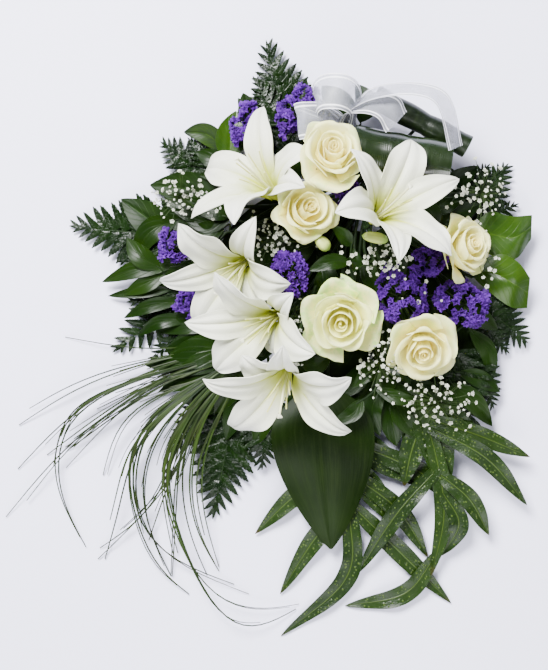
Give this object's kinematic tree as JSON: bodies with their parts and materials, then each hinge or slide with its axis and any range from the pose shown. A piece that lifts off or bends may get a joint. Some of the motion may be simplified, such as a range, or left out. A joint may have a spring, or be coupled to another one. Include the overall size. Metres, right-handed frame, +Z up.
{
  "type": "funeral bouquet",
  "caption": "Hand-tied trailing bouquet of white lilies and cream roses with violet statice, gypsophila, ferns, broad leaves, long grass and a sheer white bow, laid on its back.",
  "frame": {"origin": "on the surface that the bouquet lies on, in the middle of its outline seen from above", "axes": "+Z up, the way the blooms face; +Y towards the tie and the cut stems; -Y towards the trailing tips; +X to the right of a viewer who looks down with the tie at the top"},
  "size_m": [0.5938, 0.6768, 0.1897],
  "materials": {
    "aspidistra_green": "gloss, dark green with fine veins",
    "grass_green": "satin, grey green",
    "bud_green": "satin, pale green",
    "fern_green": "satin, dark green",
    "gypsophila_white": "matt",
    "kangaroo_green": "gloss, mid green with pale pocks",
    "lily_white": "matt white petals, green-yellow throat",
    "ribbon_white": "sheer white organza",
    "rose_cream": "matt cream petals",
    "leaf_green": "satin, green",
    "statice_violet": "matt, papery",
    "stem_green": "matt green stems",
    "tie_green": "matt binding band"
  },
  "bodies": {
    "root": {"aspidistra_leaf": "aspidistra_green", "aspidistra_roll_1": "aspidistra_green", "aspidistra_roll_2": "aspidistra_green", "back_leaf_1": "aspidistra_green", "back_leaf_2": "aspidistra_green", "back_leaf_3": "aspidistra_green", "bear_grass": "grass_green", "bud_1": "bud_green", "bud_2": "bud_green", "fern_1": "fern_green", "fern_2": "fern_green", "fern_3": "fern_green", "fern_4": "fern_green", "fern_5": "fern_green", "fern_6": "fern_green", "fern_7": "fern_green", "fern_8": "fern_green", "fern_9": "fern_green", "gypsophila_1": "gypsophila_white", "gypsophila_2": "gypsophila_white", "gypsophila_3": "gypsophila_white", "gypsophila_4": "gypsophila_white", "gypsophila_5": "gypsophila_white", "gypsophila_6": "gypsophila_white", "gypsophila_7": "gypsophila_white", "kangaroo_fern_1": "kangaroo_green", "kangaroo_fern_2": "kangaroo_green", "lily_1": "lily_white", "lily_2": "lily_white", "lily_3": "lily_white", "lily_4": "lily_white", "lily_5": "lily_white", "ribbon": "ribbon_white", "rose_1": "rose_cream", "rose_2": "rose_cream", "rose_3": "rose_cream", "rose_4": "rose_cream", "rose_5": "rose_cream", "ruscus_1": "leaf_green", "ruscus_2": "leaf_green", "salal_leaf_1": "leaf_green", "salal_leaf_2": "leaf_green", "salal_leaf_3": "leaf_green", "salal_leaf_4": "leaf_green", "salal_leaf_5": "leaf_green", "salal_leaf_6": "leaf_green", "salal_leaf_7": "leaf_green", "salal_leaf_8": "leaf_green", "salal_leaf_9": "leaf_green", "statice_1": "statice_violet", "statice_2": "statice_violet", "statice_3": "statice_violet", "statice_4": "statice_violet", "statice_5": "statice_violet", "statice_6": "statice_violet", "statice_7": "statice_violet", "statice_8": "statice_violet", "statice_9": "statice_violet", "stems": "stem_green", "tie_band": "tie_green"}
  },
  "joints": []
}
